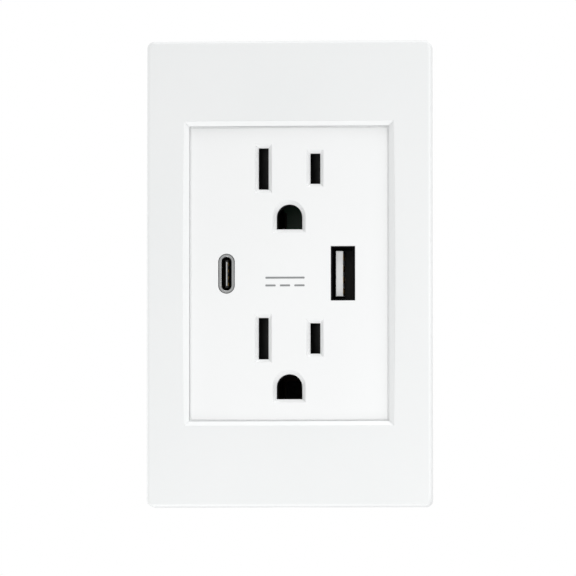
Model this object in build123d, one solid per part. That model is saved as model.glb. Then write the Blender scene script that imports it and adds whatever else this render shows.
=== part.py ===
from build123d import *
import os

os.makedirs("parts", exist_ok=True)

# Axes: X runs to the right, Z up and Y into the wall. The wall is y = 0, so the room has a negative y.
# All sizes are in millimetres.

# Outlets, to the standard for a three-hole 15 A plug
blade_spacing = 12.7
pin_drop = 11.9  # from the line of the blades down to the earth pin
slot_width = 2.45
wide_slot = 10.2  # height of the left slot
narrow_slot = 7.5  # height of the right slot
pin_hole_radius = 3.15
pin_hole_foot = 3.0  # flat side of the hole, below its centre
slot_lead = 0.9  # width of the funnel around each hole
slot_lead_depth = 1.5
outlet_pitch = 41.7
outlet_sink = 1.0  # the two outlets sit this far below the middle of the face

# USB ports, both standing on end at the middle of the face
usb_c_offset = 15.4  # to the left
usb_c_length = 9.5
usb_c_breadth = 3.75
usb_c_sheet = 0.6
usb_c_setback = 0.2  # behind the face at that place
usb_c_tongue_length = 6.7
usb_c_tongue_thickness = 0.7
usb_c_tongue_setback = 1.0
mid_plate_sheet = 0.25  # steel sheet in the middle of the USB-C tongue, as far proud of its front
mid_plate_length = 5.9
usb_a_offset = 13.2  # to the right
usb_a_length = 13.1
usb_a_breadth = 5.7
usb_a_sheet = 0.3
usb_a_setback = 0.9
usb_a_tongue_length = 11.1
usb_a_tongue_thickness = 1.7
usb_a_tongue_shift = 0.95  # the tongue stands left of the middle
usb_a_tongue_setback = 0.8
port_clearance = 0.15
port_block = 3.0  # depth of the plastic block at the back of each port
contact_foil = 0.06
contact_setback = 0.9  # behind the front of the tongue
contact_count = 4  # along each side of a tongue that has any

# Face of the module
face_end = 3.95  # face beyond the holes, above and below
face_side = 6.875  # face beyond the outer port, left and right
face_rise = 0.35  # the middle stands proud of the left and right edges
face_edge = 0.15
cover_wall = 2.1

# Wall plate, 69.85 x 114.3 over all
face_gap = 0.35  # groove between the face and the plate
groove_depth = 0.2  # from the face down to a ledge of the cover
groove_fit = 0.05  # free space between the ledge and the plate
side_border = 10.425
end_border = 20.95
plate_corner = 1.7
plate_rise = 0.7  # the middle stands proud of the upper and lower edges
plate_edge = 0.8
plate_wall = 1.8
plate_front = 2.2
bevel_width = 1.6
bevel_depth = 1.3
face_recess = 0.3  # edge of the face behind the inner edge of the bevel
collar_wall = 1.4
pry_width = 9.0
pry_height = 1.4

# Snap hooks of the plate
hook_room = 2.6  # between the mounting frame and the plate's wall
hook_clearance = 0.3
hook_leg = 1.4
hook_nib = 0.9
hook_width = 8.0
hook_offset = 34.0  # above and below the middle
hook_tail = 0.4  # free space to the wall
hook_ledge = 2.2  # thickness that the nib takes behind the ledge
snap_play = 0.1

# Mounting frame
box_screw_spacing = 83.3
box_screw_hole = 2.1
box_screw_pocket = 10.4
box_screw_seat = 2.6
frame_depth = 4.5
frame_floor = 2.0
frame_rim = 1.7
frame_corner = 2.0
frame_rib = 1.4
body_clearance = 0.3

# Module body behind the face
side_flange = 2.35
end_flange = 1.2
body_corner = 1.5
skirt_wall = 1.5
skirt_tail = 2.5  # skirt behind the wall plane
barb_width = 8.0
barb_offset = 24.0
barb_reach = 0.7
barb_depth = 2.0
housing_wall = 1.8
housing_chamfer = 0.8
gauge_length = 16.0  # recess in the back that shows how much insulation to strip off a wire
gauge_width = 2.4
gauge_depth = 0.4
gauge_drop = 17.0  # below the middle of the back

# Screws that join the tub to the front cover
housing_screw_inset = 3.6
housing_screw_notch = 7.2
housing_screw_ear = 3.5
housing_screw_head = 2.2
housing_screw_head_height = 1.6
housing_screw_root = 1.0
housing_screw_length = 8.5
housing_screw_boss = 4.8
thread_depth = 0.3  # screws are drawn at the root of the thread, their holes at its crest

# Shutters
shutter_lap = 0.3
shutter_depth = 2.9
shutter_lip = 0.3
slide_clearance = 0.2
carrier_wall = 0.8
carrier_floor = 1.2
tube_wall = 1.0
tube_tail = 1.6
spring_packed = 1.85  # room left for the spring when the shutter is open
spring_leaf = 0.25
spring_width = 2.2
spring_foot = 1.6
peg_size = 2.0
peg_clearance = 0.25
peg_tail = 0.6

# Contact strips
strip_sheet = 0.8
clip_gap = 1.0  # free gap for a 1.5 mm blade
clip_leaf = 0.6
clip_mouth = 3.0
clip_root = 2.6
clip_height = 7.0
clip_length = 10.6
clip_clearance = 0.8
pin_clip_gap = 4.4  # free gap for a 4.8 mm pin
pin_clip_mouth = 6.2
pin_clip_root = 5.2
pin_clip_height = 5.0
pin_clip_extra = 2.0  # the pin is longer than the blades
arm_height = 7.0
strap_width = 4.2
feed_width = 2.4
feed_offset = 11.2
feed_tail = 1.2

# Wire terminals
terminal_inset = 2.9
terminal_pad = 10.4
terminal_collar = 1.0
terminal_spacing = 32.0
terminal_rise = 1.5
ground_screw_offset = 6.6
terminal_head = 3.2
terminal_head_height = 2.2
terminal_root = 1.75
terminal_shank = 3.4

# Circuit boards
usb_board_front = 6.1
usb_board_thickness = 1.4
usb_board_width = 34.8
usb_board_height = 18.0
board_post_size = 3.2
board_post_offset = 7.0
board_peg_size = 1.5
power_board_gap = 1.6  # behind the earth strip
power_board_thickness = 1.6
power_board_width = 36.0
power_board_height = 48.0
board_hole_clearance = 0.3
support_size = 3.2
support_inset = 3.0
link_count = 4
link_pitch = 2.54
link_pin = 0.64
link_offset = 9.0
link_tail = 0.8

# Parts on the power board
transformer_width = 14.0
transformer_depth = 8.0
transformer_height = 11.0
winding_width = 10.0
winding_length = 13.0
winding_height = 9.6
winding_gap = 0.1
winding_corner = 2.0
input_can_radius = 4.0
input_can_height = 10.0
output_can_radius = 3.15
output_can_height = 9.0
can_gap = 1.2
fuse_width = 4.0
fuse_length = 8.0
fuse_height = 6.0
rectifier_width = 4.0
rectifier_length = 4.7
rectifier_height = 2.4
chip_width = 4.9
chip_length = 3.9
chip_height = 1.5
film_width = 10.0
film_length = 5.0
film_height = 9.0
part_gap = 1.0
rear_clearance = 0.6

# Places that follow from the sizes above
upper_z = outlet_pitch / 2 - outlet_sink + pin_drop / 2
lower_z = upper_z - outlet_pitch
blade_x = blade_spacing / 2
usb_c_reach = usb_c_offset + usb_c_breadth / 2
usb_a_reach = usb_a_offset + usb_a_breadth / 2
face_width = 2 * (max(usb_c_reach, usb_a_reach) + face_side)
face_height = outlet_pitch + pin_drop + wide_slot + 2 * face_end
face_edge_y = frame_depth + cover_wall
face_front = face_edge_y + face_rise
face_radius = ((face_width / 2) ** 2 + face_rise**2) / (2 * face_rise)
window_width = face_width + 2 * face_gap
window_height = face_height + 2 * face_gap
plate_width = window_width + 2 * side_border
plate_height = window_height + 2 * end_border
bevel_floor = face_edge_y + face_recess
plate_depth = bevel_floor + bevel_depth
plate_radius = ((plate_height / 2) ** 2 + plate_rise**2) / (2 * plate_rise)
frame_width = plate_width - 2 * (plate_wall + hook_room)
frame_height = plate_height - 2 * (plate_wall + hook_room)
body_width = face_width - 2 * side_flange
body_height = face_height - 2 * end_flange
opening_width = body_width + 2 * body_clearance
opening_height = body_height + 2 * body_clearance
ramp_width = slot_width + 2 * shutter_lap
shutter_travel = ramp_width
shutter_height = wide_slot + 2 * shutter_lap
shutter_end = blade_x + ramp_width / 2
carrier_front = -frame_depth
shutter_front = carrier_front + slide_clearance
shutter_back = shutter_front + shutter_depth
floor_front = shutter_back + slide_clearance
carrier_back = floor_front + carrier_floor
tube_back = carrier_back + tube_tail
pocket_left = -shutter_end - slide_clearance
pocket_right = shutter_end + shutter_travel + spring_packed
pocket_height = shutter_height + 2 * slide_clearance
peg_x = blade_x + pin_hole_radius - peg_size / 2
clip_front = tube_back + clip_clearance
clip_back = clip_front + clip_length
strip_back = clip_back + strip_sheet
ground_front = clip_back + pin_clip_extra
ground_back = ground_front + strip_sheet
terminal_y = strip_back - terminal_pad / 2
terminal_face_x = body_width / 2 - terminal_inset
terminal_face_z = body_height / 2 - terminal_inset
terminal_heights = [terminal_rise + terminal_spacing / 2, terminal_rise - terminal_spacing / 2]
board_front = ground_back + power_board_gap
board_back = board_front + power_board_thickness
tallest_part = max(transformer_height, input_can_height, output_can_height, fuse_height)
housing_floor = board_back + tallest_part + rear_clearance
housing_back = housing_floor + housing_wall
usb_board_back = usb_board_front + usb_board_thickness
support_x = power_board_width / 2 - support_inset
support_z = power_board_height / 2 - support_inset
screw_x = body_width / 2 - housing_screw_inset
screw_z = body_height / 2 - housing_screw_inset
ear_back = skirt_tail + housing_screw_ear
housing_screw_core = 2 * (housing_screw_root + thread_depth)  # square cored hole, cut by the thread
corners = [(-1, -1), (-1, 1), (1, -1), (1, 1)]


# Sketch plane that faces the room at a given depth: its x is X and its y is Z
def at(y):
    return Plane.XZ.offset(-y)


# Outline carried from one depth to another, the front being the end nearer the room
def between(outline, front, back):
    return extrude(at(back) * outline, back - front)


# Outline given in X and Y, carried upwards from one height to another
def upright(points, low, high):
    return extrude(Plane.XY.offset(low) * Polygon(*points, align=None), high - low, dir=(0, 0, 1))


# Block given by its limits on the three axes
def block(x_low, x_high, y_low, y_high, z_low, z_high):
    size = Box(x_high - x_low, y_high - y_low, z_high - z_low)
    return Pos((x_low + x_high) / 2, (y_low + y_high) / 2, (z_low + z_high) / 2) * size


# Rod along Y
def rod(radius, x, z, front, back):
    return between(Pos(x, z) * Circle(radius), front, back)


# Square post along Y
def post(size, x, z, front, back):
    return between(Pos(x, z) * Rectangle(size, size), front, back)


# Places of a row of like things, centred on the middle
def spread(count, pitch):
    return [(n - (count - 1) / 2) * pitch for n in range(count)]


# Funnel from one outline to a wider one nearer the room
def funnel(inner, outer, inner_y, outer_y):
    return loft([at(inner_y) * inner, at(outer_y) * outer], ruled=True)


# D-shaped outline of the earth hole, its arch upwards
def arch_outline(radius, foot):
    arch = ThreePointArc((radius, 0), (0, radius), (-radius, 0))
    sides = Polyline((-radius, 0), (-radius, -foot), (radius, -foot), (radius, 0))
    return make_face([arch, sides])


# Wall plate: a crowned shell with a bevelled window, hooks behind its long sides and a notch to pry it off
def make_faceplate():
    crown = Cylinder(plate_radius, 2 * plate_width, rotation=(0, 90, 0))
    crown = Pos(0, plate_radius - plate_depth, 0) * crown
    outline = RectangleRounded(plate_width, plate_height, plate_corner)
    plate = between(outline, -plate_depth, 0) & crown
    front = plate.faces().sort_by(Axis.Y)[0]
    plate = fillet(front.edges(), plate_edge)

    inside = Rectangle(plate_width - 2 * plate_wall, plate_height - 2 * plate_wall)
    plate -= between(inside, -plate_depth, 0) & (Pos(0, plate_front, 0) * crown)
    collar = Rectangle(window_width + 2 * collar_wall, window_height + 2 * collar_wall)
    plate += between(collar, -bevel_floor, -frame_depth)

    window = Rectangle(window_width, window_height)
    plate -= between(window, -plate_depth, 0)
    over = 2  # the cutter of the bevel runs on past the face of the plate
    mouth = Rectangle(window_width + 2 * over * bevel_width, window_height + 2 * over * bevel_width)
    plate -= funnel(window, mouth, -bevel_floor, -bevel_floor - over * bevel_depth)

    leg_in = frame_width / 2 + hook_clearance
    leg_out = leg_in + hook_leg
    leg_front = -plate_depth + plate_front / 2 + plate_rise
    catch = snap_play - hook_ledge
    profile = [
        (leg_in, leg_front),
        (leg_out, leg_front),
        (leg_out, -hook_tail),
        (leg_in, -hook_tail),
        (leg_in - hook_nib, (catch - hook_tail) / 2),
        (leg_in - hook_nib, catch),
        (leg_in, catch),
    ]
    for z in (-hook_offset, hook_offset):
        hook = upright(profile, z - hook_width / 2, z + hook_width / 2)
        plate += [hook, mirror(hook, Plane.YZ)]

    bottom = -plate_height / 2
    plate -= block(-pry_width / 2, pry_width / 2, -pry_height, 0, bottom, bottom + plate_wall)
    return plate


# Mounting frame: a ribbed tray with a seat around the module, pads for box screws and ledges for hooks
def make_mounting_frame():
    outline = RectangleRounded(frame_width, frame_height, frame_corner)
    hollow = Rectangle(frame_width - 2 * frame_rim, frame_height - 2 * frame_rim)
    frame = between(outline, -frame_depth, 0) - between(hollow, -frame_depth, -frame_floor)

    seat_margin = 2 * (face_gap + collar_wall)
    seat = Rectangle(face_width + seat_margin, face_height + seat_margin)
    frame += between(seat, -frame_depth, -frame_floor)
    ribs = [Rectangle(frame_width - frame_rim, frame_rib), Rectangle(frame_rib, frame_height - frame_rim)]
    for rib in ribs:
        frame += between(rib, -frame_depth, -frame_floor)

    for z in (-box_screw_spacing / 2, box_screw_spacing / 2):
        frame -= post(box_screw_pocket, 0, z, -frame_depth, -box_screw_seat)
        frame += post(box_screw_pocket, 0, z, -box_screw_seat, -frame_floor)
    frame -= between(Rectangle(opening_width, opening_height), -frame_depth, 0)
    for z in (-box_screw_spacing / 2, box_screw_spacing / 2):
        frame -= rod(box_screw_hole, 0, z, -frame_depth, 0)

    side = frame_width / 2
    reach = hook_nib + hook_clearance
    half = hook_width / 2 + hook_clearance
    for z in (-hook_offset, hook_offset):
        ledge = block(side - reach, side, -hook_ledge, 0, z - half, z + half)
        frame -= [ledge, mirror(ledge, Plane.YZ)]
    return frame


# Hole through the face with a funnel in front of it
def funnelled_hole(inner, outer, x, z):
    inner, outer = Pos(x, z) * inner, Pos(x, z) * outer
    through = between(inner, -face_front, -frame_depth)
    return through + funnel(inner, outer, slot_lead_depth - face_front, -face_front)


# Front cover: a crowned face with the holes, and a skirt that goes through the mounting frame
def make_front_cover():
    crown = Pos(0, face_radius - face_front, 0) * Cylinder(face_radius, 2 * face_height)
    cover = between(Rectangle(face_width, face_height), -face_front, -frame_depth) & crown
    front = cover.faces().sort_by(Axis.Y)[0]
    cover = fillet(front.edges(), face_edge)
    ledge_reach = face_gap - groove_fit
    ledge = Rectangle(face_width + 2 * ledge_reach, face_height + 2 * ledge_reach)
    cover += between(ledge, -face_front, -frame_depth) & (Pos(0, groove_depth, 0) * crown)

    skirt = RectangleRounded(body_width, body_height, body_corner)
    skirt_inside = Rectangle(body_width - 2 * skirt_wall, body_height - 2 * skirt_wall)
    cover += between(skirt, -frame_depth, skirt_tail) - between(skirt_inside, -frame_depth, skirt_tail)

    side = body_width / 2
    root = side - skirt_wall / 2
    tip = side + body_clearance + barb_reach
    barb_back = snap_play + barb_depth
    barb_profile = [(root, snap_play), (tip, snap_play), (side, barb_back), (root, barb_back)]
    for z in (-barb_offset, barb_offset):
        barb = upright(barb_profile, z - barb_width / 2, z + barb_width / 2)
        cover += [barb, mirror(barb, Plane.YZ)]

    core_end = ear_back - housing_screw_length - thread_depth
    for x, z in corners:
        cover += post(housing_screw_boss, x * screw_x, z * screw_z, -frame_depth, skirt_tail)
        cover -= post(housing_screw_core, x * screw_x, z * screw_z, core_end, skirt_tail)

    for z in (-board_post_offset, board_post_offset):
        cover += post(board_post_size, 0, z, -frame_depth, usb_board_front)
        cover += post(board_peg_size, 0, z, usb_board_front, usb_board_back)
    for z in (upper_z, lower_z):
        for x in (-peg_x, peg_x):
            cover += post(peg_size, x, z - pin_drop, -frame_depth, carrier_back + peg_tail)

    wide = Rectangle(slot_width, wide_slot)
    wide_mouth = Rectangle(slot_width + 2 * slot_lead, wide_slot + 2 * slot_lead)
    narrow = Rectangle(slot_width, narrow_slot)
    narrow_mouth = Rectangle(slot_width + 2 * slot_lead, narrow_slot + 2 * slot_lead)
    pin = arch_outline(pin_hole_radius, pin_hole_foot)
    pin_mouth = arch_outline(pin_hole_radius + slot_lead, pin_hole_foot + slot_lead)
    for z in (upper_z, lower_z):
        cover -= funnelled_hole(wide, wide_mouth, -blade_x, z)
        cover -= funnelled_hole(narrow, narrow_mouth, blade_x, z)
        cover -= funnelled_hole(pin, pin_mouth, 0, z - pin_drop)

    usb_a = Rectangle(usb_a_breadth + 2 * port_clearance, usb_a_length + 2 * port_clearance)
    usb_c = SlotOverall(usb_c_length + 2 * port_clearance, usb_c_breadth + 2 * port_clearance, rotation=90)
    cover -= between(Pos(usb_a_offset, 0) * usb_a, -face_front, -frame_depth)
    cover -= between(Pos(-usb_c_offset, 0) * usb_c, -face_front, -frame_depth)
    return cover


# Outline of the tub, with a notch at each corner for the screws; the inset moves every side inwards
def tub_outline(inset):
    outline = Rectangle(body_width - 2 * inset, body_height - 2 * inset)
    for x, z in corners:
        notch = Rectangle(2 * (housing_screw_notch + inset), 2 * (housing_screw_notch + inset))
        outline -= Pos(x * body_width / 2, z * body_height / 2) * notch
    return outline


# Terminal window through the right-hand wall, with a collar that the pad of the strip rests on
def terminal_collar_ring():
    outer = Rectangle(terminal_pad, terminal_pad)
    hole = Rectangle(terminal_pad - 2 * terminal_collar, terminal_pad - 2 * terminal_collar)
    plane = Plane.YZ.offset(terminal_face_x)
    collar = extrude(plane * outer, terminal_inset - housing_wall / 2)
    window = extrude(plane * hole, terminal_inset)
    return collar, window


# Tub behind the wall, with ears for the screws, terminal windows and posts for the power board
def make_rear_housing():
    ears = RectangleRounded(body_width, body_height, body_corner)
    tub = between(ears, skirt_tail, ear_back) + between(tub_outline(0), ear_back, housing_back)
    back = tub.faces().sort_by(Axis.Y)[-1]
    tub = chamfer(back.outer_wire().edges(), housing_chamfer)
    tub -= between(tub_outline(housing_wall), skirt_tail, housing_floor)
    for x, z in corners:
        tub -= post(housing_screw_core, x * screw_x, z * screw_z, skirt_tail, ear_back)

    collar, window = terminal_collar_ring()
    for z in terminal_heights:
        place = Pos(0, terminal_y, z)
        tub += [place * collar, mirror(place * collar, Plane.YZ)]
        tub -= [place * window, mirror(place * window, Plane.YZ)]
    drop = terminal_face_z - terminal_face_x
    downwards = Pos(-ground_screw_offset, terminal_y, -drop) * Rot(0, 90, 0)
    tub += downwards * collar
    tub -= downwards * window

    for x, z in corners:
        tub += post(support_size, x * support_x, z * support_z, board_back, housing_floor)
    gauge = Pos(0, -gauge_drop) * Rectangle(gauge_length, gauge_width)
    tub -= between(gauge, housing_back - gauge_depth, housing_back)
    return tub


# Screw along Z: a head of the given outline, and below it a shank drawn six-sided at the root of the thread
def make_screw(head_outline, head_height, root, length):
    return extrude(head_outline, head_height) + extrude(RegularPolygon(root, 6), -length)


# Screws that come from behind through the ears of the tub
def make_housing_screws():
    pan_head = Circle(housing_screw_head)
    screw = make_screw(pan_head, housing_screw_head_height, housing_screw_root, housing_screw_length)
    forwards = Rot(-90, 0, 0) * screw
    return [Pos(x * screw_x, ear_back, z * screw_z) * forwards for x, z in corners]


# Tray behind the slots that guides the shutter, with the tube that leads the earth pin
def make_carrier(z):
    left = pocket_left - carrier_wall
    right = pocket_right + carrier_wall
    half = pocket_height / 2
    tray = block(left, right, carrier_front, carrier_back, z - half - carrier_wall, z + half + carrier_wall)
    tail_half = peg_x + peg_size / 2 + peg_clearance + carrier_wall
    foot = z - pin_drop - pin_hole_foot - tube_wall
    tray += block(-tail_half, tail_half, floor_front, carrier_back, foot, z - half)
    tube_half = pin_hole_radius + tube_wall
    tube_top = z - pin_drop + tube_half
    tray += block(-tube_half, tube_half, carrier_front, tube_back, foot, tube_top)

    tray -= block(pocket_left, pocket_right, carrier_front, floor_front, z - half, z + half)
    for x, height in ((-blade_x, wide_slot), (blade_x, narrow_slot)):
        tray -= between(Pos(x, z) * Rectangle(slot_width, height), floor_front, carrier_back)
    bore = arch_outline(pin_hole_radius, pin_hole_foot)
    tray -= between(Pos(0, z - pin_drop) * bore, carrier_front, tube_back)
    for x in (-peg_x, peg_x):
        tray -= post(peg_size + 2 * peg_clearance, x, z - pin_drop, floor_front, carrier_back)
    return tray


# Sliding shutter: a ramp under each slot, and a window that the right-hand blade passes when it is open
def make_shutter(z):
    lip = shutter_back - shutter_lip
    step = shutter_end - ramp_width
    profile = [
        (-shutter_end, shutter_back),
        (shutter_end, shutter_back),
        (shutter_end, shutter_front),
        (step, lip),
        (step - ramp_width, lip),
        (step - ramp_width, shutter_front),
        (-step, shutter_front),
        (-shutter_end, lip),
    ]
    half = shutter_height / 2
    shutter = upright(profile, z - half, z + half)
    pass_half = narrow_slot / 2
    return shutter - block(step - ramp_width, step, shutter_front, shutter_back, z - pass_half, z + pass_half)


# Leaf spring: a foot on the wall of the tray and two arms that lean on the end of the shutter
def make_shutter_spring(z):
    tip = pocket_height / 2 - carrier_wall
    foot = spring_foot / 2
    outline = [
        (pocket_right, foot),
        (shutter_end + spring_leaf, tip),
        (shutter_end, tip),
        (shutter_end, tip - spring_leaf),
        (pocket_right - spring_leaf, foot - spring_leaf),
        (pocket_right - spring_leaf, spring_leaf - foot),
        (shutter_end, spring_leaf - tip),
        (shutter_end, -tip),
        (shutter_end + spring_leaf, -tip),
        (pocket_right, -foot),
    ]
    middle = (shutter_front + shutter_back) / 2
    leaf = Pos(0, z) * Polygon(*outline, align=None)
    return between(leaf, middle - spring_width / 2, middle + spring_width / 2)


# Pair of spring leaves that grip a blade or pin: a mouth, a pinch and a straight root
def make_clip(x, z, gap, mouth, root, height, back):
    pinch = clip_front + clip_length / 4
    straight = clip_front + clip_length / 2
    leaf = [
        (mouth / 2, clip_front),
        (gap / 2, pinch),
        (root / 2, straight),
        (root / 2, back),
        (root / 2 + clip_leaf, back),
        (root / 2 + clip_leaf, straight),
        (gap / 2 + clip_leaf, pinch),
        (mouth / 2 + clip_leaf, clip_front),
    ]
    right = upright(leaf, z - height / 2, z + height / 2)
    return Pos(x, 0, 0) * (right + mirror(right, Plane.YZ))


# Strip for one side of both outlets: pads at the wall, a strap, arms inwards and a clip behind each slot
def make_side_strip(side):
    inner = terminal_face_x - strip_sheet
    pad_front = strip_back - terminal_pad
    half = arm_height / 2
    base = clip_root / 2 + clip_leaf
    low, high = terminal_heights[1], terminal_heights[0]
    strip = block(inner, terminal_face_x, strip_back - strap_width, strip_back, low, high)
    for terminal_z, outlet_z in zip(terminal_heights, (upper_z, lower_z)):
        pad_low = terminal_z - terminal_pad / 2
        strip += block(inner, terminal_face_x, pad_front, strip_back, pad_low, pad_low + terminal_pad)
        strip += block(blade_x, inner, clip_back, strip_back, terminal_z - half, terminal_z + half)
        bottom = min(terminal_z - half, outlet_z - clip_height / 2)
        top = max(terminal_z + half, outlet_z + clip_height / 2)
        strip += block(blade_x - base, blade_x + base, clip_back, strip_back, bottom, top)
        strip += make_clip(blade_x, outlet_z, clip_gap, clip_mouth, clip_root, clip_height, clip_back)
        hole = Cylinder(terminal_root + thread_depth, 2 * strip_sheet, rotation=(0, 90, 0))
        strip -= Pos(terminal_face_x - strip_sheet / 2, terminal_y, terminal_z) * hole
    feed_z = low + half
    feed_end = board_back + feed_tail
    feed_x = feed_offset - feed_width / 2
    strip += block(feed_x, feed_x + feed_width, clip_back, feed_end, feed_z - strip_sheet, feed_z)
    return strip if side > 0 else mirror(strip, Plane.YZ)


# Earth strip: a clip behind each pin hole, cut and bent out of the sheet, and a pad at the bottom of the tub
def make_ground_strip():
    half = pin_clip_root / 2 + clip_leaf
    top = upper_z - pin_drop + pin_clip_height / 2
    bottom = -terminal_face_z
    strip = block(-half, half, ground_front, ground_back, bottom, top)
    pad_left = -ground_screw_offset - terminal_pad / 2
    pad_front = strip_back - terminal_pad
    strip += block(pad_left, half, pad_front, ground_back, bottom, bottom + strip_sheet)
    opening = Rectangle(pin_clip_gap, pin_clip_height)
    for z in (upper_z - pin_drop, lower_z - pin_drop):
        strip -= between(Pos(0, z) * opening, ground_front, ground_back)
        strip += make_clip(0, z, pin_clip_gap, pin_clip_mouth, pin_clip_root, pin_clip_height, ground_front)
    hole = Cylinder(terminal_root + thread_depth, 2 * strip_sheet)
    return strip - Pos(-ground_screw_offset, terminal_y, bottom + strip_sheet / 2) * hole


# Wire screw along X with a head of the given outline, outside the pad of the right-hand strip
def make_terminal_screw(head_outline):
    screw = make_screw(head_outline, terminal_head_height, terminal_root, terminal_shank)
    return Rot(0, 90, 0) * screw


# Screws of one side
def make_side_screws(side):
    screw = make_terminal_screw(Circle(terminal_head))
    screws = [Pos(terminal_face_x, terminal_y, z) * screw for z in terminal_heights]
    return screws if side > 0 else [mirror(placed, Plane.YZ) for placed in screws]


# USB-A port: shell, plastic block, the tongue that stands in it, and four contacts on the tongue
def make_usb_a():
    front = -face_edge_y + usb_a_setback
    outer = Rectangle(usb_a_breadth, usb_a_length)
    inner = Rectangle(usb_a_breadth - 2 * usb_a_sheet, usb_a_length - 2 * usb_a_sheet)
    place = Pos(usb_a_offset, 0)
    shell = between(place * (outer - inner), front, usb_board_front)

    tongue_x = usb_a_offset - usb_a_tongue_shift
    tongue_front = front + usb_a_tongue_setback
    block_front = usb_board_front - port_block
    blade = Rectangle(usb_a_tongue_thickness, usb_a_tongue_length)
    tongue = between(Pos(tongue_x, 0) * blade, tongue_front, usb_board_front - port_block / 2)
    body = between(place * inner, block_front, usb_board_front) - tongue

    face_x = tongue_x + usb_a_tongue_thickness / 2
    contact_x = face_x + contact_foil
    contact_front = tongue_front + contact_setback
    pitch = usb_a_tongue_length / contact_count
    half = pitch / 4
    contacts = []
    for z in spread(contact_count, pitch):
        contacts.append(block(face_x, contact_x, contact_front, block_front, z - half, z + half))
    return shell, body, tongue, contacts


# USB-C port: shell with round ends, plastic block with its tongue, a steel plate in the tongue, and contacts on
# both sides of it
def make_usb_c():
    face_there = face_front - usb_c_offset**2 / (2 * face_radius)
    front = usb_c_setback - face_there
    outer = SlotOverall(usb_c_length, usb_c_breadth, rotation=90)
    inner = SlotOverall(usb_c_length - 2 * usb_c_sheet, usb_c_breadth - 2 * usb_c_sheet, rotation=90)
    place = Pos(-usb_c_offset, 0)
    shell = between(place * (outer - inner), front, usb_board_front)

    tongue_front = front + usb_c_tongue_setback
    block_front = usb_board_front - port_block
    tongue = between(place * inner, block_front, usb_board_front)
    blade = Rectangle(usb_c_tongue_thickness, usb_c_tongue_length)
    tongue += between(place * blade, tongue_front, block_front)
    sheet = Rectangle(mid_plate_sheet, mid_plate_length)
    mid_plate = between(place * sheet, tongue_front - mid_plate_sheet, block_front)
    tongue -= mid_plate

    contact_front = tongue_front + contact_setback
    pitch = usb_c_tongue_length / contact_count
    half = pitch / 4
    contacts = []
    for z in spread(contact_count, pitch):
        for side in (-1, 1):
            face_x = -usb_c_offset + side * usb_c_tongue_thickness / 2
            x_low, x_high = sorted((face_x, face_x + side * contact_foil))
            contacts.append(block(x_low, x_high, contact_front, block_front, z - half, z + half))
    return shell, tongue, mid_plate, contacts


# Square holes for the link pins
def link_holes():
    size = link_pin + 2 * board_hole_clearance
    return [Pos(link_offset, z) * Rectangle(size, size) for z in spread(link_count, link_pitch)]


# Board behind the ports, held on two pegs of the front cover
def make_usb_board():
    outline = Rectangle(usb_board_width, usb_board_height)
    peg_hole = board_peg_size + 2 * board_hole_clearance
    for z in (-board_post_offset, board_post_offset):
        outline -= Pos(0, z) * Rectangle(peg_hole, peg_hole)
    outline -= link_holes()
    return between(outline, usb_board_front, usb_board_back)


# Board of the supply, with slots for the tabs of the strips
def make_power_board():
    outline = Rectangle(power_board_width, power_board_height)
    outline -= link_holes()
    feed_z = terminal_heights[1] + arm_height / 2 - strip_sheet / 2
    slot = Rectangle(feed_width + 2 * board_hole_clearance, strip_sheet + 2 * board_hole_clearance)
    for x in (-feed_offset, feed_offset):
        outline -= Pos(x, feed_z) * slot
    return between(outline, board_front, board_back)


# Pins that carry the 5 V from one board to the other
def make_link_pins():
    front = usb_board_front - link_tail
    back = board_back + link_tail
    return [post(link_pin, link_offset, z, front, back) for z in spread(link_count, link_pitch)]


# Transformer: a winding on the board and a ferrite core that straddles it
def make_transformer():
    coil = Rectangle(winding_width, winding_length)
    coil = chamfer(coil.vertices(), winding_corner)
    winding = between(coil, board_back, board_back + winding_height)
    core = Rectangle(transformer_width, transformer_depth)
    core = between(core, board_back, board_back + transformer_height)
    gap = Rectangle(winding_width + 2 * winding_gap, transformer_depth)
    return core - between(gap, board_back, board_back + winding_height + winding_gap), winding


# Small parts around the transformer
def make_supply_parts():
    left = -transformer_width / 2 - part_gap
    right = transformer_width / 2 + part_gap
    above = winding_length / 2 + part_gap
    pitch = 2 * input_can_radius + can_gap
    input_x = left - input_can_radius
    can_back = board_back + input_can_height
    inputs = [rod(input_can_radius, input_x, above + z, board_back, can_back) for z in spread(2, pitch)]
    pitch = 2 * output_can_radius + can_gap
    output_x = right + part_gap + output_can_radius
    can_back = board_back + output_can_height
    outputs = [rod(output_can_radius, output_x, above + z, board_back, can_back) for z in (0, pitch)]

    fuse_z = above - 2 * input_can_radius - can_gap / 2 - part_gap - fuse_length / 2
    fuse = Pos(left - fuse_width / 2, fuse_z) * Rectangle(fuse_width, fuse_length)
    rectifier_x = -support_x + support_size / 2 + part_gap + rectifier_width / 2
    rectifier_z = -power_board_height / 2 + part_gap + rectifier_length / 2
    rectifier = Pos(rectifier_x, rectifier_z) * Rectangle(rectifier_width, rectifier_length)
    chip = Pos(0, above + chip_length / 2) * Rectangle(chip_width, chip_length)
    film = Pos(0, -above - film_length / 2) * Rectangle(film_width, film_length)
    return {
        "input_capacitors": inputs,
        "output_capacitors": outputs,
        "mains_fuse": between(fuse, board_back, board_back + fuse_height),
        "rectifier": between(rectifier, board_back, board_back + rectifier_height),
        "controller_chip": between(chip, board_back, board_back + chip_height),
        "safety_capacitor": between(film, board_back, board_back + film_height),
    }


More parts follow.
